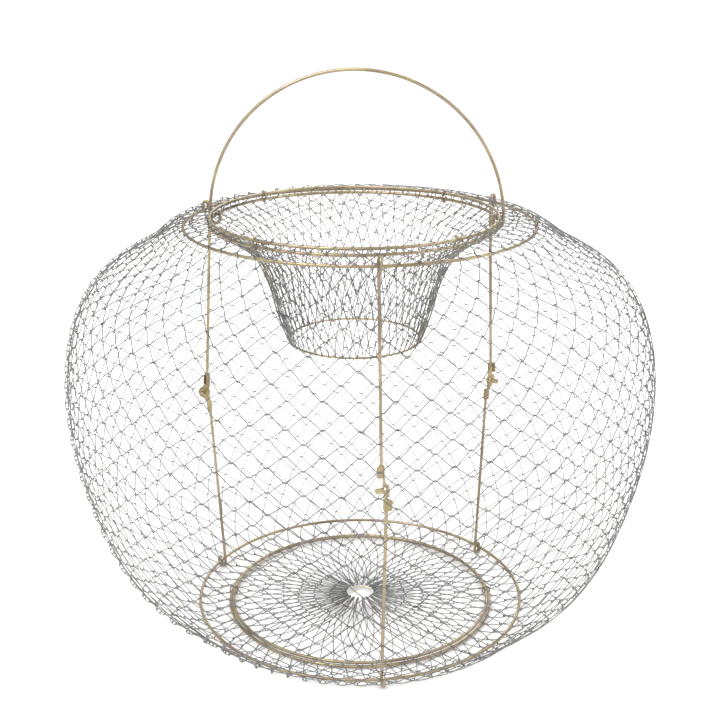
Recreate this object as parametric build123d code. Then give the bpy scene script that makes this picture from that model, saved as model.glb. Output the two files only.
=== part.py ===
from build123d import *
import math
import os

# Folding wire-net crab trap, millimetres. Origin: centre of the base on the floor, +Z up.
# The front of the trap faces -Y. A positive fold draws the three strut knees inward.

# ---- frame wires and hoops ----
WIRE_R = 1.5  # hoops, rings, struts and bail: 3 mm wire
HOOP_R = 160.0  # wire centreline radius of the two hoops that the struts join
LOWER_HOOP_Z = 8.8
HOOP_RISE = 378.7  # from the lower hoop to the upper hoop
UPPER_HOOP_Z = LOWER_HOOP_Z + HOOP_RISE
BASE_RING_R = 130.0
BASE_RING_Z = 3.4
FLOOR_RING_R = 127.3
FLOOR_RING_Z = 6.0

# ---- mouth, funnel and throat ----
MOUTH_X = -5.0  # the mouth hangs in the net a little to the left of the hoops' axis
MOUTH_R = 131.5
MOUTH_LOWER_Z = UPPER_HOOP_Z + 1.95
MOUTH_UPPER_Z = MOUTH_LOWER_Z + 5.4
MOUTH_MID_Z = (MOUTH_LOWER_Z + MOUTH_UPPER_Z) / 2
THROAT_R = 61.0
THROAT_WIRE_R = 1.0
THROAT_Z = UPPER_HOOP_Z - 110.2
# outer surface of the funnel, from the throat ring up to its flared mouth
FUNNEL_SIDE = [
    (62.6, 278.9),
    (67.8, 291),
    (73.3, 308),
    (79.3, 331.5),
    (85.8, 347),
    (94.6, 362.6),
    (107, 372.8),
    (119.5, 381.2),
]

# ---- net ----
NET_T = 3.2  # thickness of the knitted net, loop crest to loop crest
FUNNEL_T = 2.4
NET_HOLE_BASE_R = 134.5
NET_HOLE_MOUTH_R = 141.0
NET_GORES = 24  # a net is drawn in flat-ish panels that meet edge to edge: so many round it
NET_BANDS = 9  # and so many up the body net's side
FUNNEL_BANDS = 4
BAND_STEPS = 4  # curve points up one band
GORE_START = -91.0  # a strut stands in the middle of every eighth gore
# outer surface of the bulging side, from the flat under the lower hoop to the flat over the upper one
NET_SIDE = [
    (146, 0),
    (164, 4.6),
    (184, 23),
    (208, 44),
    (229, 67.5),
    (255, 125),
    (270, 187),
    (273.8, 243),
    (266, 296),
    (243, 339.5),
    (213, 361.5),
    (188, 376),
    (171, 388.4),
    (161, 393),
    (150, 394.6),
]
EYE_WINDOW = (30.0, 20.0, 30.0)  # radial, tangential, height: the net opens round each strut eye

# ---- struts: two identical hinged halves each ----
STRUTS = {"front": (-83.5, 1), "right": (36.5, 1), "left": (156.5, -1)}  # azimuth, hinge side
FOLD_SKEW = 10.0  # degrees that a fold plane stands off the radius, so that folded knees pass
KNEE_BOW = 11.0  # knees stand this far outside the line between their hoops: over centre
HALF_L = math.hypot(KNEE_BOW, HOOP_RISE / 2)  # hoop pivot to knee pivot
ROD_INSET = 3.5  # rod axis inside the line between its two pivots
ROD_SIDE = 2.35  # rod axis beside the knee's shear plane
EYE_R = 3.5  # centreline radius of the eye's two bends
EYE_DROP = 3.5  # straight stretch between them, beyond the hoop

# ---- knee hinge ----
SHEET_T = 0.8
SHEAR_GAP = 0.03  # each ear stands this far off the shear plane
EAR_R = 6.0
RIVET_R = 1.5
EAR_BORE_R = 1.55
FERRULE_START = 21.0  # along the rod, back from the knee pivot
FERRULE_END = 10.5
FLANGE_REACH = 7.0
HEAD_R = 5.8
HEAD_T = 2.2
COLLAR_R = 2.7
COLLAR_FLANGE_R = 4.4
COLLAR_FLANGE_T = 1.0
COLLAR_END = 8.4  # from the shear plane
TAIL_LENGTH = 0.9  # peened rivet tail beyond the collar

# ---- bail handle ----
BAIL_R = 135.5
BAIL_DROP = 5.0  # arc centre below the pivot line
BAIL_TURN = -4.0  # degrees that the pivot line is turned from X
BAIL_MID = (-4.0, 13.7)  # middle of the pivot line
HOOK_U = 130.8  # ring crossing, along the pivot line
HOOK_R = 4.4
HOOK_DROP = 6.0
HOOK_TIP = 2.0

# ---- clips and tie ----
CLIP_WIRE_R = 0.75
MOUTH_CLIP_ANGLES = (48, 133, 231, 311)
MOUTH_CLIP_HALF_WIDTH = 2.5
BASE_CLIP_ANGLES = (176, 4)
BASE_CLIP_WIRE_R = 0.65
BASE_CLIP_R = 4.0
CLIP_GAP_DEGREES = 10.0
TIE_WIRE_R = 0.8
FLOOR_NET_R = 123.5
FLOOR_NET_LOW = 4.4
FLOOR_NET_HIGH = 7.0
GATHER_R = 24.0
GATHER_TOP = 9.5
TIE_Z = 10.7


def polar(radius, degrees, z=0.0):
    a = math.radians(degrees)
    return Vector(radius * math.cos(a), radius * math.sin(a), z)


def ring(radius, wire_r, z, x=0.0):
    return Pos(x, 0, z) * Torus(radius, wire_r)


def wire_along(path, wire_r):
    """Round wire swept along a smooth path."""
    start = Plane(origin=path @ 0, z_dir=path % 0)
    return sweep(start * Circle(wire_r), path=path)


# ---------------- struts ----------------


def half_strut_plane(name, upper):
    """Frame of one half strut: origin on the hoop wire, Z to the knee, X outward in the fold plane."""
    azimuth, _ = STRUTS[name]
    pivot = polar(HOOP_R, azimuth, UPPER_HOOP_Z if upper else LOWER_HOOP_Z)
    outward = polar(1, azimuth + FOLD_SKEW)
    knee_z = LOWER_HOOP_Z + HOOP_RISE / 2
    knee = Vector(pivot.X, pivot.Y, knee_z) + outward * KNEE_BOW
    along = (knee - pivot).normalized()
    across = outward - along * outward.dot(along)
    return Plane(origin=pivot, x_dir=across, z_dir=along)


def rod(side):
    """Half-strut rod with its closed eye round the hoop wire."""
    y = side * ROD_SIDE
    section = Plane(origin=(0, y, 0), x_dir=(1, 0, 0), z_dir=(0, -1, 0))
    end = HALF_L - FERRULE_END - 0.4
    with BuildLine(section) as line:
        Line((-ROD_INSET, end), (-ROD_INSET, -EYE_DROP))
        CenterArc((0, -EYE_DROP), EYE_R, 180, 180)
        Line((EYE_R, -EYE_DROP), (EYE_R, 0))
        CenterArc((0, 0), EYE_R, 0, 95)
    return wire_along(line.wire(), WIRE_R)


def ear_plate():
    """Outline of the bracket's tongue and round ear, in the fold plane."""
    knee = Pos(0, HALF_L) * Circle(EAR_R)
    neck = Polygon(
        (-ROD_INSET - 2.2, HALF_L - FERRULE_START),
        (-ROD_INSET + 2.2, HALF_L - FERRULE_START),
        (-ROD_INSET + 2.2, HALF_L - FERRULE_END),
        (3.4, HALF_L - 4.2),
        (-4.9, HALF_L - 2.2),
        (-ROD_INSET - 2.2, HALF_L - FERRULE_END),
        align=None,
    )
    return knee + neck - Pos(0, HALF_L) * Circle(EAR_BORE_R)


def bracket(side):
    """Sheet bracket crimped on the rod's end: ferrule, lap flange, tongue and ear."""
    fold_plane = Plane(origin=(0, 0, 0), x_dir=(1, 0, 0), z_dir=(0, -1, 0))
    plate = extrude(fold_plane * ear_plate(), amount=-SHEET_T)
    plate = Pos(0, SHEAR_GAP, 0) * plate
    length = FERRULE_START - FERRULE_END
    mid_z = HALF_L - (FERRULE_START + FERRULE_END) / 2
    sleeve = Pos(-ROD_INSET, ROD_SIDE, mid_z) * Cylinder(WIRE_R + SHEET_T, length)
    flange_x = -ROD_INSET + WIRE_R + SHEET_T / 2
    flange_y = (ROD_SIDE + FLANGE_REACH) / 2
    flange = Pos(flange_x, flange_y, mid_z) * Box(SHEET_T, FLANGE_REACH - ROD_SIDE, length)
    outer_edges = flange.edges().filter_by(Axis.X).group_by(Axis.Y)[-1]
    flange = fillet(outer_edges, 2.2)
    bore = Pos(-ROD_INSET, ROD_SIDE, mid_z) * Cylinder(WIRE_R, length + 2)
    body = plate + sleeve + flange - bore
    return body if side > 0 else mirror(body, about=Plane.XZ)


def knee_axis_plane(side):
    """Plane at the knee whose Z runs along the rivet, towards the lower half's side."""
    return Plane(origin=(0, 0, HALF_L), x_dir=(1, 0, 0), z_dir=(0, side, 0))


def rivet(side):
    """Mushroom-head rivet with a peened tail, in the lower half's frame."""
    seat = SHEAR_GAP + SHEET_T + 0.05
    tail = -COLLAR_END - TAIL_LENGTH
    with BuildSketch(Plane.XZ) as profile:
        with BuildLine():
            Line((0, tail), (RIVET_R * 0.6, tail))
            Line((RIVET_R * 0.6, tail), (RIVET_R, tail + 0.6))
            Line((RIVET_R, tail + 0.6), (RIVET_R, seat))
            Line((RIVET_R, seat), (HEAD_R, seat))
            Line((HEAD_R, seat), (HEAD_R, seat + 0.6))
            Spline(
                (HEAD_R, seat + 0.6),
                (HEAD_R * 0.55, seat + HEAD_T * 0.88),
                (0, seat + HEAD_T),
                tangents=((-0.2, 1), (-1, 0)),
            )
            Line((0, seat + HEAD_T), (0, tail))
        make_face()
    return knee_axis_plane(side) * revolve(profile.sketch, Axis.Z)


def collar(side):
    """Flanged collar that the rivet's tail is peened over, outside the upper half's ear."""
    seat = -(SHEAR_GAP + SHEET_T + 0.05)
    bore = RIVET_R + 0.005
    flange_end = seat - COLLAR_FLANGE_T
    with BuildSketch(Plane.XZ) as profile:
        with BuildLine():
            Polyline(
                (bore, seat),
                (COLLAR_FLANGE_R, seat),
                (COLLAR_FLANGE_R - 0.5, flange_end),
                (COLLAR_R, flange_end),
                (COLLAR_R, -COLLAR_END + 0.5),
                (COLLAR_R - 0.5, -COLLAR_END),
                (bore, -COLLAR_END),
                close=True,
            )
        make_face()
    return knee_axis_plane(side) * revolve(profile.sketch, Axis.Z)


def struts():
    parts = {}
    for name, (_, side) in STRUTS.items():
        lower = half_strut_plane(name, upper=False)
        upper = half_strut_plane(name, upper=True)
        parts[f"{name}_lower_rod"] = lower * rod(side)
        parts[f"{name}_upper_rod"] = upper * rod(side)
        parts[f"{name}_lower_bracket"] = lower * bracket(side)
        parts[f"{name}_upper_bracket"] = upper * bracket(side)
        parts[f"{name}_knee_rivet"] = lower * rivet(side)
        parts[f"{name}_knee_collar"] = lower * collar(side)
    return parts


# ---------------- rings, clips and bail ----------------


def rings():
    return {
        "lower_hoop": ring(HOOP_R, WIRE_R, LOWER_HOOP_Z),
        "upper_hoop": ring(HOOP_R, WIRE_R, UPPER_HOOP_Z),
        "base_ring": ring(BASE_RING_R, WIRE_R, BASE_RING_Z),
        "floor_ring": ring(FLOOR_RING_R, WIRE_R, FLOOR_RING_Z),
        "mouth_ring_lower": ring(MOUTH_R, WIRE_R, MOUTH_LOWER_Z, MOUTH_X),
        "mouth_ring_upper": ring(MOUTH_R, WIRE_R, MOUTH_UPPER_Z, MOUTH_X),
        "throat_ring": ring(THROAT_R, THROAT_WIRE_R, THROAT_Z, MOUTH_X),
    }


def mouth_clip(angle):
    """Hog ring round both mouth rings, open by a small gap on its outer side."""
    centre = polar(MOUTH_R, angle, MOUTH_MID_Z) + Vector(MOUTH_X, 0, 0)
    section = Plane(origin=centre, x_dir=polar(1, angle), z_dir=polar(1, angle - 90))
    r = MOUTH_CLIP_HALF_WIDTH
    half = (MOUTH_UPPER_Z - MOUTH_LOWER_Z) / 2
    with BuildLine(section) as line:
        Line((r, -0.4), (r, -half))
        CenterArc((0, -half), r, 0, -180)
        Line((-r, -half), (-r, half))
        CenterArc((0, half), r, 180, -180)
        Line((r, half), (r, 0.4))
    return wire_along(line.wire(), CLIP_WIRE_R)


def base_clip(angle):
    """Round split ring that holds the base ring and the floor ring together."""
    radius = (BASE_RING_R + FLOOR_RING_R) / 2
    centre = polar(radius, angle, (BASE_RING_Z + FLOOR_RING_Z) / 2)
    section = Plane(origin=centre, x_dir=polar(1, angle), z_dir=polar(1, angle - 90))
    with BuildLine(section) as line:
        CenterArc((0, 0), BASE_CLIP_R, CLIP_GAP_DEGREES, 360 - CLIP_GAP_DEGREES)
    return wire_along(line.wire(), BASE_CLIP_WIRE_R)


def clips():
    return {
        "mouth_clips": Compound([mouth_clip(a) for a in MOUTH_CLIP_ANGLES]),
        "base_clips": Compound([base_clip(a) for a in BASE_CLIP_ANGLES]),
    }


def bail():
    """Half-round wire handle with a J hook at each end, loose round both mouth rings."""
    section = Plane(
        origin=(BAIL_MID[0], BAIL_MID[1], MOUTH_MID_Z),
        x_dir=polar(1, BAIL_TURN),
        z_dir=polar(1, BAIL_TURN - 90),
    )
    outer = HOOK_U + HOOK_R
    sweep_up = math.degrees(math.acos(outer / BAIL_R))
    join_z = BAIL_R * math.sin(math.radians(sweep_up)) - BAIL_DROP
    tangent = (-math.sin(math.radians(sweep_up)), math.cos(math.radians(sweep_up)))
    low = -HOOK_DROP
    with BuildLine(section) as line:
        Line((HOOK_U - HOOK_R, HOOK_TIP), (HOOK_U - HOOK_R, low))
        CenterArc((HOOK_U, low), HOOK_R, 180, 180)
        Spline((outer, low), (outer, join_z), tangents=((0, 1), tangent))
        CenterArc((0, -BAIL_DROP), BAIL_R, sweep_up, 180 - 2 * sweep_up)
        Spline((-outer, join_z), (-outer, low), tangents=((tangent[0], -tangent[1]), (0, -1)))
        CenterArc((-HOOK_U, low), HOOK_R, 180, 180)
        Line((-HOOK_U + HOOK_R, low), (-HOOK_U + HOOK_R, HOOK_TIP))
    return {"bail_handle": wire_along(line.wire(), WIRE_R)}


# ---------------- nets ----------------


def inward_points(curve, thickness, count):
    """Points off a side curve (seen in the XZ plane, drawn upward) by a thickness towards the axis."""
    found = []
    for k in range(count + 1):
        at = curve @ (k / count)
        along = curve % (k / count)
        found.append((at.X - along.Z * thickness, at.Z + along.X * thickness))
    return found


def gore_angle(k):
    return GORE_START + k * 360 / NET_GORES


def revolved_gore(section):
    """One panel of a net: a cross-section turned about Z through one gore."""
    return revolve(section, Axis.Z, revolution_arc=360 / NET_GORES)


def side_bands(side_points, thickness, bands):
    """Outer and inner points of each band up a net's side."""
    side = Plane.XZ * Spline(*side_points)
    count = bands * BAND_STEPS
    points = [side @ (k / count) for k in range(count + 1)]
    outer = [(p.X, p.Z) for p in points]
    inner = inward_points(side, thickness, count)
    spans = [slice(k * BAND_STEPS, (k + 1) * BAND_STEPS + 1) for k in range(bands)]
    return [(outer[span], inner[span]) for span in spans]


def band_section(outer, inner, first=False, last=False):
    """Cross-section of one band. The body net's end bands carry its flat hems."""
    hem_low = NET_HOLE_BASE_R - 2
    hem_high = NET_HOLE_MOUTH_R - 10
    top = outer[-1][1]
    with BuildSketch(Plane.XZ) as section:
        with BuildLine():
            Spline(*outer)
            Spline(*reversed(inner))
            if first:
                Polyline(inner[0], (hem_low, NET_T), (hem_low, 0), outer[0])
            else:
                Line(inner[0], outer[0])
            if last:
                Polyline(outer[-1], (hem_high, top), (hem_high, top - NET_T), inner[-1])
            else:
                Line(outer[-1], inner[-1])
        make_face()
    return section.sketch


def hem_cuts():
    """Round holes at the base and the mouth, and the windows that the strut eyes pass through."""
    cuts = [
        Cylinder(NET_HOLE_BASE_R, 40),
        Pos(MOUTH_X, 0, UPPER_HOOP_Z) * Cylinder(NET_HOLE_MOUTH_R, 40),
    ]
    for azimuth, _ in STRUTS.values():
        for z in (LOWER_HOOP_Z, UPPER_HOOP_Z):
            cuts.append(Rot(0, 0, azimuth) * Pos(HOOP_R, 0, z) * Box(*EYE_WINDOW))
    return cuts


def body_net():
    """Bulging net from the base ring round both hoops to the mouth, in thin panels."""
    cuts = hem_cuts()
    panels = []
    for band, (outer, inner) in enumerate(side_bands(NET_SIDE, NET_T, NET_BANDS)):
        first = band == 0
        last = band == NET_BANDS - 1
        gore = revolved_gore(band_section(outer, inner, first, last))
        for k in range(NET_GORES):
            panel = Rot(0, 0, gore_angle(k)) * gore
            panels.append(panel - cuts if first or last else panel)
    return Compound(panels)


def funnel_net():
    """Flared net that hangs from the mouth rings to the throat ring, in thin panels."""
    panels = []
    for outer, inner in side_bands(FUNNEL_SIDE, FUNNEL_T, FUNNEL_BANDS):
        gore = revolved_gore(band_section(outer, inner))
        panels += [Pos(MOUTH_X, 0, 0) * Rot(0, 0, gore_angle(k)) * gore for k in range(NET_GORES)]
    return Compound(panels)


def floor_net():
    """Flat round net inside the floor ring, gathered to a low hump at its centre."""
    with BuildSketch(Plane.XZ) as section:
        with BuildLine():
            Line((0, FLOOR_NET_LOW), (FLOOR_NET_R, FLOOR_NET_LOW))
            Line((FLOOR_NET_R, FLOOR_NET_LOW), (FLOOR_NET_R, FLOOR_NET_HIGH))
            Line((FLOOR_NET_R, FLOOR_NET_HIGH), (GATHER_R, FLOOR_NET_HIGH))
            Spline((GATHER_R, FLOOR_NET_HIGH), (0, GATHER_TOP), tangents=((-1, 0), (-1, 0)))
            Line((0, GATHER_TOP), (0, FLOOR_NET_LOW))
        make_face()
    return revolve(section.sketch, Axis.Z)


def floor_tie():
    """Short bent wire that draws the floor net's middle loops together."""
    path = Spline(
        (-10, -6, TIE_Z),
        (-3, -3, TIE_Z + 0.6),
        (2, 3, TIE_Z + 1.2),
        (8, 2, TIE_Z + 0.4),
        (10, -3, TIE_Z),
    )
    return wire_along(path, TIE_WIRE_R)


def nets():
    return {
        "body_net": body_net(),
        "funnel_net": funnel_net(),
        "floor_net": floor_net(),
        "floor_tie": floor_tie(),
    }


def main():
    os.makedirs("parts", exist_ok=True)
    parts = {**rings(), **clips(), **bail(), **struts(), **nets()}
    for name, shape in parts.items():
        export_step(shape, f"parts/{name}.step")


main()
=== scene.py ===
import math

import bpy
import numpy as np
from mathutils import Matrix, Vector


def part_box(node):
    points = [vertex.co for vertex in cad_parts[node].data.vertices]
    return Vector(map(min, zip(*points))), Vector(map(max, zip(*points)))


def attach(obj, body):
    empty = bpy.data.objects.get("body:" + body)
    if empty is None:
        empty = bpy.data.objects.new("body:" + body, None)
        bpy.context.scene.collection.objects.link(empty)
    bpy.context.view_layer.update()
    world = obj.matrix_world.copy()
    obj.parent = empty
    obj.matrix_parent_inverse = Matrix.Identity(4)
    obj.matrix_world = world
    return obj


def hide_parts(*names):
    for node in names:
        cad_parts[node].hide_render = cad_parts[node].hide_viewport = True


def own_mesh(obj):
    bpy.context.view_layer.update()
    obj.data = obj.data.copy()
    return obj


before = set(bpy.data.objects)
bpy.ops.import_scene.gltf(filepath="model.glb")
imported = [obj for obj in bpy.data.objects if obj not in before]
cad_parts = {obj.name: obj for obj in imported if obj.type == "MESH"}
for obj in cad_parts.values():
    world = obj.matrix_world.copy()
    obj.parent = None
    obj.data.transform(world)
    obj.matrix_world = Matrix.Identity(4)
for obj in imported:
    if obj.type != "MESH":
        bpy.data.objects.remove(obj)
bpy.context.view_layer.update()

# Folding wire-net crab trap. Metres, the CAD model's frame. The CAD keeps the hoops, rings,
# struts, hinges, clips and bail. The three nets are knitted here as real wire.

rng = np.random.default_rng(11)

# ---- the knitted net ----
LOOPS = 60  # zigzag points in one course, all round the trap
LEG = 0.0174  # length of one wire leg between two links
NET_WIRE_R = 0.0004
BEND_R = 0.0012  # radius of the U-bend at each link: half the net's thickness
HOOK = 0.0005  # how far a bend passes the line of its links
RING_BEND_R = 0.0021  # bends that go round a 3 mm ring
RING_HOOK = 0.00205
THROAT_BEND_R = 0.0016
THROAT_HOOK = 0.00155
WIRE_SIDES = 6
NET_CENTRE = 0.0016  # the net's middle surface, inside its outer surface

# outer surface of the body net: radius, height
BODY_SIDE = [
    (0.1460, 0.0000),
    (0.1640, 0.0046),
    (0.1840, 0.0230),
    (0.2080, 0.0440),
    (0.2290, 0.0675),
    (0.2550, 0.1250),
    (0.2700, 0.1870),
    (0.2738, 0.2430),
    (0.2660, 0.2960),
    (0.2430, 0.3395),
    (0.2130, 0.3615),
    (0.1880, 0.3760),
    (0.1710, 0.3884),
    (0.1610, 0.3930),
    (0.1500, 0.3946),
]

# middle surface of the funnel net, from the mouth down to the throat
FUNNEL_LINE = [
    (0.1188, 0.3822),
    (0.1063, 0.3738),
    (0.0937, 0.3634),
    (0.0847, 0.3475),
    (0.0782, 0.3319),
    (0.0721, 0.3083),
    (0.0667, 0.2914),
]
# middle surface of the floor net, from its ring in to the tie
FLOOR_LINE = [
    (0.1180, 0.0056),
    (0.0800, 0.0056),
    (0.0450, 0.0058),
    (0.0240, 0.0066),
    (0.0190, 0.0074),
    (0.0140, 0.0082),
]
LINE_POINTS = 600


def ring_of(node):
    """(radius of the wire's centreline, height, x of the centre) of a CAD ring."""
    low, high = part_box(node)
    wire = (high[2] - low[2]) / 2
    return (high[0] - low[0]) / 2 - wire, (low[2] + high[2]) / 2, (low[0] + high[0]) / 2


BASE_RING = ring_of("base_ring")
FLOOR_RING = ring_of("floor_ring")
LOWER_HOOP = ring_of("lower_hoop")
UPPER_HOOP = ring_of("upper_hoop")
MOUTH_LOW = ring_of("mouth_ring_lower")
MOUTH_HIGH = ring_of("mouth_ring_upper")
THROAT = ring_of("throat_ring")


# ---------------- mesh helpers ----------------


def mesh_object(name, verts, quads):
    mesh = bpy.data.meshes.new(name)
    mesh.vertices.add(len(verts))
    mesh.vertices.foreach_set("co", np.ascontiguousarray(verts, np.float32).ravel())
    mesh.loops.add(quads.size)
    mesh.loops.foreach_set("vertex_index", np.ascontiguousarray(quads, np.int32).ravel())
    mesh.polygons.add(len(quads))
    mesh.polygons.foreach_set("loop_start", np.arange(0, quads.size, 4, dtype=np.int32))
    mesh.polygons.foreach_set("use_smooth", np.ones(len(quads), bool))
    mesh.update(calc_edges=True)
    mesh.validate()
    obj = bpy.data.objects.new(name, mesh)
    bpy.context.scene.collection.objects.link(obj)
    return obj


def unit(v):
    return v / np.linalg.norm(v, axis=-1, keepdims=True)


def closed_tubes(paths, radius, sides=WIRE_SIDES):
    """Verts and quads of round wires along closed paths, given as (wires, points, 3)."""
    count, n, _ = paths.shape
    tangent = unit(np.roll(paths, -1, 1) - np.roll(paths, 1, 1))
    side = np.empty_like(paths)
    seed = np.zeros((count, 3))
    seed[:, 2] = 1.0
    seed -= (seed * tangent[:, 0]).sum(1, keepdims=True) * tangent[:, 0]
    side[:, 0] = unit(seed)
    for i in range(1, n):
        t = tangent[:, i]
        s = side[:, i - 1]
        side[:, i] = unit(s - (s * t).sum(1, keepdims=True) * t)
    t0 = tangent[:, 0]
    last = unit(side[:, -1] - (side[:, -1] * t0).sum(1, keepdims=True) * t0)
    up0 = np.cross(t0, side[:, 0])
    twist = np.arctan2((last * up0).sum(1), (last * side[:, 0]).sum(1))
    turn = -twist[:, None] * np.arange(n)[None] / n
    up = np.cross(tangent, side)
    around = 2 * math.pi * np.arange(sides) / sides
    angle = turn[..., None] + around
    ring = (
        paths[:, :, None]
        + radius * np.cos(angle)[..., None] * side[:, :, None]
        + radius * np.sin(angle)[..., None] * up[:, :, None]
    )
    index = np.arange(count * n * sides).reshape(count, n, sides)
    after = np.roll(index, -1, 1)
    quads = np.stack(
        [index, np.roll(index, -1, 2), np.roll(after, -1, 2), after], -1
    ).reshape(-1, 4)
    return ring.reshape(-1, 3), quads


def cubic(points, count):
    """Natural cubic spline through (radius, height) points, at even arc lengths."""
    p = np.array(points, float)
    t = np.r_[0, np.cumsum(np.hypot(*np.diff(p, axis=0).T))]
    n, h = len(p), np.diff(t)
    a = np.zeros((n, n))
    b = np.zeros((n, 2))
    a[0, 0] = a[-1, -1] = 1
    for i in range(1, n - 1):
        a[i, i - 1 : i + 2] = h[i - 1], 2 * (h[i - 1] + h[i]), h[i]
        b[i] = 6 * ((p[i + 1] - p[i]) / h[i] - (p[i] - p[i - 1]) / h[i - 1])
    m = np.linalg.solve(a, b)
    x = np.linspace(0, t[-1], 20 * count)
    k = np.clip(np.searchsorted(t, x, side="right") - 1, 0, n - 2)
    u, w, hk = x - t[k], t[k + 1] - x, h[k]
    y = (m[k] * (w**3)[:, None] + m[k + 1] * (u**3)[:, None]) / (6 * hk)[:, None]
    y += (p[k] / hk[:, None] - m[k] * hk[:, None] / 6) * w[:, None]
    y += (p[k + 1] / hk[:, None] - m[k + 1] * hk[:, None] / 6) * u[:, None]
    arc = np.r_[0, np.cumsum(np.hypot(*np.diff(y, axis=0).T))]
    even = np.linspace(0, arc[-1], count)
    return np.stack([np.interp(even, arc, y[:, 0]), np.interp(even, arc, y[:, 1])], 1)


class Surface:
    """Middle surface of a net: a curve of (radius, height) turned round an axis.

    The axis may shift in x along the curve.
    """

    def __init__(self, curve, shift=(0.0, 0.0), shift_from=0.0):
        self.curve = curve
        step = np.hypot(*np.diff(curve, axis=0).T)
        self.arc = np.r_[0, np.cumsum(step)]
        self.length = self.arc[-1]
        tangent = unit(np.gradient(curve, axis=0))
        self.normal = np.stack([tangent[:, 1], -tangent[:, 0]], 1)
        part = np.clip((self.arc / self.length - shift_from) / (1 - shift_from), 0, 1)
        smooth = part * part * (3 - 2 * part)
        self.shift = shift[0] + (shift[1] - shift[0]) * smooth

    def radius(self, s):
        return np.interp(s, self.arc, self.curve[:, 0])

    def at(self, azimuth, s, out):
        """Points at an azimuth, an arc length and a height off the middle surface."""
        r = np.interp(s, self.arc, self.curve[:, 0])
        z = np.interp(s, self.arc, self.curve[:, 1])
        r = r + out * np.interp(s, self.arc, self.normal[:, 0])
        z = z + out * np.interp(s, self.arc, self.normal[:, 1])
        x = r * np.cos(azimuth) + np.interp(s, self.arc, self.shift)
        return np.stack([x, r * np.sin(azimuth), z], -1)


# ---------------- knitting ----------------

BEND_ANGLES = np.radians([0, 30, 60, 90])
SWAY_TURN = 0.010  # slow drift of the links, radians round the trap
SWAY_ALONG = 0.0016  # and metres up the net
SCATTER_TURN = 0.0011  # each link's own offset, the same two ways
SCATTER_ALONG = 0.00045
WIRE_WOBBLE = 0.00018
BUNCH = 3  # loops that a gathered row draws together


def half_loop(height, bend_a, bend_b):
    """One wire from a link's apex to the next: share of the way, rise, and height off the net."""
    rise = [bend_a * (1 - np.cos(BEND_ANGLES)), [height / 2]]
    rise.append(height - bend_b * (1 - np.cos(BEND_ANGLES[:0:-1])))
    out = [bend_a * np.sin(BEND_ANGLES), [(bend_a + bend_b) / 2]]
    out.append(bend_b * np.sin(BEND_ANGLES[:0:-1]))
    straight = height - bend_a - bend_b
    quarter_a = bend_a * BEND_ANGLES
    way = [quarter_a, [quarter_a[-1] + straight / 2]]
    total = quarter_a[-1] + straight + bend_b * math.pi / 2
    way.append(total - bend_b * BEND_ANGLES[:0:-1])
    way = np.concatenate(way) / total
    return way, np.concatenate(rise) / height, np.concatenate(out)


def row_lines(surface, leg=LEG):
    """Arc lengths of the rows of links, so that each leg keeps its length."""
    s = np.linspace(0, surface.length, 2000)
    half_pitch = math.pi * surface.radius(s) / LOOPS
    height = np.sqrt(np.maximum(leg**2 - half_pitch**2, (0.3 * leg) ** 2))
    rows = np.r_[0, np.cumsum(np.diff(s) / ((height[1:] + height[:-1]) / 2))]
    count = int(round(rows[-1]))
    return np.interp(np.linspace(0, rows[-1], count + 1), rows, s)


def links(surface, lines, sway, scatter, turn=0.0):
    """Azimuths and arc lengths of every link, with the hand-made unevenness of a real net."""
    rows = len(lines)
    k = np.arange(rows)[:, None]
    azimuth = (2 * np.arange(LOOPS)[None] + (k % 2)) * math.pi / LOOPS + turn
    s = np.repeat(np.array(lines)[:, None], LOOPS, 1)
    fade = np.ones(rows)
    fade[[0, -1]] = 0.0
    drift_a = np.zeros_like(azimuth)
    drift_s = np.zeros_like(azimuth)
    for waves in (2, 3, 5, 7):
        for field, size in ((drift_a, SWAY_TURN), (drift_s, SWAY_ALONG)):
            phase, climb = rng.uniform(0, 2 * math.pi, 2)
            wave = np.sin(waves * azimuth + phase + climb * 3 * s / surface.length)
            field += sway * size / math.sqrt(waves) * wave
    drift_a += scatter * rng.normal(0, SCATTER_TURN, azimuth.shape)
    drift_s += scatter * rng.normal(0, SCATTER_ALONG, azimuth.shape)
    azimuth = azimuth + drift_a * np.maximum(fade, 0.35)[:, None]
    return azimuth, s + drift_s * fade[:, None]


def course(surface, low, high, odd, ends):
    """Closed path of one wire that hooks a row of links below it and the row above it."""
    (hook_a, bend_a), (hook_b, bend_b) = ends
    az_low, s_low = low
    az_high, s_high = high
    if odd:
        az_high = np.roll(az_high, -1)
        az_high[-1] += 2 * math.pi
        s_high = np.roll(s_high, -1)
    height = float(np.mean(s_high) - np.mean(s_low)) + hook_a + hook_b
    way, rise, out = half_loop(height, bend_a, bend_b)
    next_a = np.r_[az_low[1:], az_low[0] + 2 * math.pi]
    next_s = np.roll(s_low, -1)
    foot = s_low[:, None] - hook_a
    peak = s_high[:, None] + hook_b
    foot_next = next_s[:, None] - hook_a
    wobble = rng.normal(0, WIRE_WOBBLE, (2, LOOPS, len(way))) * np.sin(math.pi * way)
    up_a = az_low[:, None] + (az_high - az_low)[:, None] * way
    up_s = foot + (peak - foot) * rise
    way_b, rise_b, out_b = half_loop(height, bend_b, bend_a)
    down_a = az_high[:, None] + (next_a - az_high)[:, None] * way_b
    down_s = peak + (foot_next - peak) * rise_b
    azimuth = np.concatenate([up_a, down_a], 1).ravel()
    s = np.concatenate([up_s + wobble[0], down_s + wobble[1]], 1).ravel()
    off = np.concatenate([np.tile(out, (LOOPS, 1)), -np.tile(out_b, (LOOPS, 1))], 1).ravel()
    return surface.at(azimuth, s, off)


def gather(azimuth, pull):
    """Draws the loops of a row together in bunches, as the tie does at the floor net's centre."""
    bunches = azimuth.reshape(-1, BUNCH)
    middle = bunches.mean(1, keepdims=True)
    return (bunches + pull * (middle - bunches)).ravel()


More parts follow.
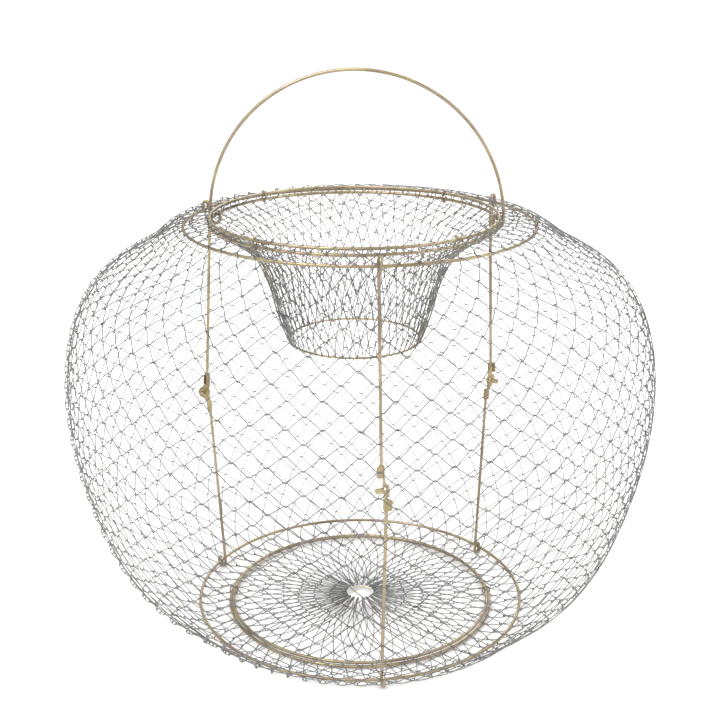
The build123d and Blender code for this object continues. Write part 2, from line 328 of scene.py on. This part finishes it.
def knit(surface, lines, first, last, sway=1.0, scatter=1.0, turn=0.0, gathered=()):
    """Paths of all courses between the rows of links, as (courses, points, 3)."""
    azimuth, s = links(surface, lines, sway, scatter, turn)
    for row, pull in gathered:
        azimuth[row] = gather(azimuth[row], pull)
    paths = []
    for k in range(len(lines) - 1):
        ends = (
            first if k == 0 else (HOOK, BEND_R),
            last if k == len(lines) - 2 else (HOOK, BEND_R),
        )
        low = (azimuth[k], s[k])
        high = (azimuth[k + 1], s[k + 1])
        paths.append(course(surface, low, high, k % 2 == 1, ends))
    return np.array(paths)


def net_object(name, paths, body, material=None):
    obj = mesh_object(name, *closed_tubes(paths, NET_WIRE_R))
    obj.data.materials.append(material or NET_MATERIAL)
    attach(obj, body)
    return obj


# ---------------- materials ----------------


NOISE_ROUGHNESS = 0.55


def new_material(name):
    material = bpy.data.materials.new(name)
    material.use_nodes = True
    tree = material.node_tree
    shader = tree.nodes["Principled BSDF"]
    return material, tree, shader


def noise(tree, scale, detail):
    coordinates = tree.nodes.new("ShaderNodeTexCoord")
    texture = tree.nodes.new("ShaderNodeTexNoise")
    texture.inputs["Scale"].default_value = scale
    texture.inputs["Detail"].default_value = detail
    texture.inputs["Roughness"].default_value = NOISE_ROUGHNESS
    tree.links.new(coordinates.outputs["Object"], texture.inputs["Vector"])
    return texture.outputs["Fac"]


def ramp(tree, source, stops):
    node = tree.nodes.new("ShaderNodeValToRGB")
    elements = node.color_ramp.elements
    while len(elements) < len(stops):
        elements.new(0.5)
    for element, (position, color) in zip(elements, stops):
        element.position = position
        element.color = (*color, 1.0)
    tree.links.new(source, node.inputs["Fac"])
    return node.outputs["Color"]


def mix(tree, factor, a, b, kind="MIX"):
    node = tree.nodes.new("ShaderNodeMix")
    node.data_type = "RGBA"
    node.blend_type = kind
    if isinstance(factor, float):
        node.inputs["Factor"].default_value = factor
    else:
        tree.links.new(factor, node.inputs["Factor"])
    tree.links.new(a, node.inputs["A"])
    tree.links.new(b, node.inputs["B"])
    return node.outputs["Result"]


def bump(tree, shader, height, strength, distance):
    node = tree.nodes.new("ShaderNodeBump")
    node.inputs["Strength"].default_value = strength
    node.inputs["Distance"].default_value = distance
    tree.links.new(height, node.inputs["Height"])
    tree.links.new(node.outputs["Normal"], shader.inputs["Normal"])


def grey(low, high, a=0.3, b=0.7):
    return [(a, (low, low, low)), (b, (high, high, high))]


def passivated_zinc(name, light, mid, dark, tint, roughness):
    """Yellow-passivated zinc plate: pale gold with olive, pink and brown drifts and dull spots."""
    material, tree, shader = new_material(name)
    shader.inputs["Metallic"].default_value = 0.85
    drift = ramp(tree, noise(tree, 14, 2), [(0.32, dark), (0.5, mid), (0.68, light)])
    rainbow = ramp(
        tree,
        noise(tree, 23, 3),
        [(0.35, (0.56, 0.50, 0.26)), (0.5, mid), (0.62, tint), (0.75, light)],
    )
    color = mix(tree, 0.45, drift, rainbow)
    specks = ramp(tree, noise(tree, 900, 2), grey(0.72, 1.0, 0.3, 0.5))
    color = mix(tree, 1.0, color, specks, "MULTIPLY")
    tree.links.new(color, shader.inputs["Base Color"])
    rough = ramp(tree, noise(tree, 160, 4), grey(roughness - 0.08, roughness + 0.14))
    tree.links.new(rough, shader.inputs["Roughness"])
    bump(tree, shader, noise(tree, 700, 3), 0.25, 0.00015)
    return material


def galvanised(name, warm):
    """Thin galvanised wire: grey with duller, darker and warmer stretches."""
    material, tree, shader = new_material(name)
    shader.inputs["Metallic"].default_value = 0.55
    color = ramp(
        tree,
        noise(tree, 60, 3),
        [(0.3, (0.10, 0.10, 0.10)), (0.5, (0.17, 0.17, 0.168)), (0.72, (0.30, 0.30, 0.295))],
    )
    tint = ramp(
        tree,
        noise(tree, 9, 2),
        [(0.35, (0.93, 0.97, 1.0)), (0.5, (1.0, 0.99, 0.97)), (0.68, warm)],
    )
    color = mix(tree, 1.0, color, tint, "MULTIPLY")
    tree.links.new(color, shader.inputs["Base Color"])
    rough = ramp(tree, noise(tree, 240, 3), grey(0.36, 0.6))
    tree.links.new(rough, shader.inputs["Roughness"])
    bump(tree, shader, noise(tree, 1500, 2), 0.2, 0.00008)
    return material


GOLD = ((0.50, 0.43, 0.30), (0.33, 0.27, 0.175), (0.13, 0.10, 0.065))
NET_MATERIAL = galvanised("net_wire_galvanised", (1.0, 0.93, 0.84))
RIM_NET_MATERIAL = galvanised("rim_net_wire", (1.0, 0.86, 0.66))
FRAME_WIRE = passivated_zinc("frame_wire_zinc", *GOLD, (0.50, 0.37, 0.30), 0.34)
SHEET = passivated_zinc(
    "hinge_sheet_zinc",
    (0.50, 0.41, 0.26),
    (0.31, 0.24, 0.14),
    (0.12, 0.09, 0.05),
    (0.36, 0.24, 0.15),
    0.38,
)
RIVET = passivated_zinc(
    "rivet_zinc",
    (0.62, 0.55, 0.40),
    (0.42, 0.35, 0.23),
    (0.18, 0.14, 0.09),
    (0.44, 0.34, 0.24),
    0.3,
)
CLIP = passivated_zinc(
    "clip_zinc",
    (0.46, 0.38, 0.26),
    (0.28, 0.22, 0.14),
    (0.12, 0.09, 0.06),
    (0.34, 0.22, 0.15),
    0.42,
)
TIE = passivated_zinc(
    "tie_zinc",
    (0.86, 0.82, 0.70),
    (0.72, 0.66, 0.50),
    (0.5, 0.42, 0.28),
    (0.78, 0.66, 0.54),
    0.3,
)


def cad_material(node):
    if node == "floor_tie":
        return TIE
    if node.endswith("_clips"):
        return CLIP
    if node.endswith("_bracket"):
        return SHEET
    if node.endswith(("_rivet", "_collar")):
        return RIVET
    return FRAME_WIRE


def paint_cad():
    for name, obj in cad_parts.items():
        if name.endswith("_net"):
            continue
        obj.data.materials.clear()
        obj.data.materials.append(cad_material(name))


# ---------------- the three nets ----------------


def body_curve():
    """Middle line of the body net, from the base ring round both hoops to the upper mouth ring."""
    side = cubic(BODY_SIDE, 200)
    tangent = unit(np.gradient(side, axis=0))
    inner = side - NET_CENTRE * np.stack([tangent[:, 1], -tangent[:, 0]], 1)
    low = [(BASE_RING[0], BASE_RING[1]), (BASE_RING[0] + 0.007, 0.0022)]
    high = [(MOUTH_HIGH[0] + 0.0085, 0.3937), (MOUTH_HIGH[0], MOUTH_HIGH[1])]
    keep = [tuple(p) for p in inner[::12]]
    return cubic(low + keep + high, 1200)


def body_net():
    surface = Surface(body_curve(), (0.0, MOUTH_HIGH[2]), 0.86)
    lines = row_lines(surface)
    ring_end = (RING_HOOK, RING_BEND_R)
    paths = knit(surface, lines, ring_end, ring_end)
    reach = surface.radius(np.array(lines))
    low_split = int(np.argmax(reach > LOWER_HOOP[0] + 0.004))
    high_split = len(lines) - 1 - int(np.argmax(reach[::-1] > UPPER_HOOP[0] + 0.004))
    net_object("body_net_foot", paths[:low_split], "base")
    net_object("body_net_top", paths[high_split:], "top")
    cuts = np.linspace(low_split, high_split, 5).round().astype(int)
    for name, a, b in zip(("low", "belly", "shoulder", "crown"), cuts[:-1], cuts[1:]):
        band = net_object(f"body_net_{name}", paths[a:b], "base")
        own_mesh(band)
        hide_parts("body_net")


def mouth_lacing():
    """Short course that laces the two mouth rings together."""
    line = np.linspace(
        (MOUTH_LOW[0], MOUTH_LOW[1]), (MOUTH_HIGH[0], MOUTH_HIGH[1]), 20
    )
    surface = Surface(line, (MOUTH_LOW[2], MOUTH_LOW[2]))
    end = (RING_HOOK, RING_BEND_R)
    paths = knit(surface, [0.0, surface.length], end, end, 0.4, 2.0, math.pi / 2 / LOOPS)
    net_object("mouth_lacing", paths, "top", RIM_NET_MATERIAL)


def funnel_net():
    line = cubic([MOUTH_LOW[:2], *FUNNEL_LINE, THROAT[:2]], LINE_POINTS)
    surface = Surface(line, (MOUTH_LOW[2], THROAT[2]))
    lines = row_lines(surface)
    first = (RING_HOOK, RING_BEND_R)
    last = (THROAT_HOOK, THROAT_BEND_R)
    paths = knit(surface, lines, first, last, 1.4, 1.3, math.pi / LOOPS * 0.6)
    net = net_object("funnel_net_wire", paths, "top", RIM_NET_MATERIAL)
    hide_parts("funnel_net")
    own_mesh(net)


def floor_net():
    line = cubic([FLOOR_RING[:2], *FLOOR_LINE], LINE_POINTS)
    surface = Surface(line)
    lines = row_lines(surface)
    first = (RING_HOOK, RING_BEND_R)
    bunches = ((-1, 0.7), (-2, 0.45), (-3, 0.2))
    turn = math.pi / LOOPS * 0.4
    paths = knit(surface, lines, first, (0.002, 0.0008), 1.2, 1.2, turn, bunches)
    net = net_object("floor_net_wire", paths, "base")
    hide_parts("floor_net")


# ---------------- stage ----------------

CAMERA_PLACE = (0.0, -1.108, 0.6328)
CAMERA_PITCH = 19.0
CAMERA_LENS = 61.85
CAMERA_SHIFT_Y = 0.0051
FLOOR_HALF = 40.0  # the floor reaches past the top of the picture
FLOOR_COLOR = (0.96, 0.96, 0.96, 1.0)
WORLD_STRENGTH = 0.8
SUN_ENERGY = 1.3
SUN_SOFTNESS = math.radians(50)
SUN_TURN = (math.radians(28), math.radians(-22), 0)


def camera():
    data = bpy.data.cameras.new("camera")
    data.lens = CAMERA_LENS
    data.sensor_width = 36.0
    data.shift_y = CAMERA_SHIFT_Y
    data.clip_start = 0.01
    obj = bpy.data.objects.new("camera", data)
    bpy.context.scene.collection.objects.link(obj)
    obj.location = CAMERA_PLACE
    obj.rotation_euler = (math.radians(90 - CAMERA_PITCH), 0, 0)
    bpy.context.scene.camera = obj


def area_light(name, place, target, size, watts):
    data = bpy.data.lights.new(name, "AREA")
    data.shape = "DISK"
    data.size = size
    data.energy = watts
    obj = bpy.data.objects.new(name, data)
    bpy.context.scene.collection.objects.link(obj)
    aim = unit(np.array(target, float) - np.array(place, float))
    z = -aim
    x = unit(np.cross((0, 0, 1), z)) if abs(z[2]) < 0.99 else np.array((1.0, 0, 0))
    y = np.cross(z, x)
    obj.matrix_world = Matrix(
        [
            (x[0], y[0], z[0], place[0]),
            (x[1], y[1], z[1], place[1]),
            (x[2], y[2], z[2], place[2]),
            (0, 0, 0, 1),
        ]
    )


def stage():
    scene = bpy.context.scene
    world = bpy.data.worlds.new("studio")
    world.use_nodes = True
    background = world.node_tree.nodes["Background"]
    background.inputs["Color"].default_value = (1.0, 1.0, 1.0, 1.0)
    background.inputs["Strength"].default_value = WORLD_STRENGTH
    scene.world = world
    scene.view_settings.view_transform = "Standard"
    floor = mesh_object(
        "floor",
        FLOOR_HALF * np.array([(-1, -1, 0), (1, -1, 0), (1, 1, 0), (-1, 1, 0)], float),
        np.array([[0, 1, 2, 3]]),
    )
    material, _, shader = new_material("floor_pale")
    shader.inputs["Base Color"].default_value = FLOOR_COLOR
    shader.inputs["Roughness"].default_value = 0.9
    floor.data.materials.append(material)
    sun = bpy.data.lights.new("sun", "SUN")
    sun.energy = SUN_ENERGY
    sun.angle = SUN_SOFTNESS
    sun_object = bpy.data.objects.new("sun", sun)
    sun_object.rotation_euler = SUN_TURN
    scene.collection.objects.link(sun_object)
    area_light("key", (-1.2, -1.4, 1.9), (0, 0, 0.2), 1.2, 26)
    area_light("fill", (1.8, -0.8, 1.2), (0, 0, 0.2), 1.4, 12)
    area_light("back", (0.4, 1.8, 1.6), (0, 0, 0.25), 1.2, 16)


camera()
paint_cad()
body_net()
mouth_lacing()
funnel_net()
floor_net()
stage()
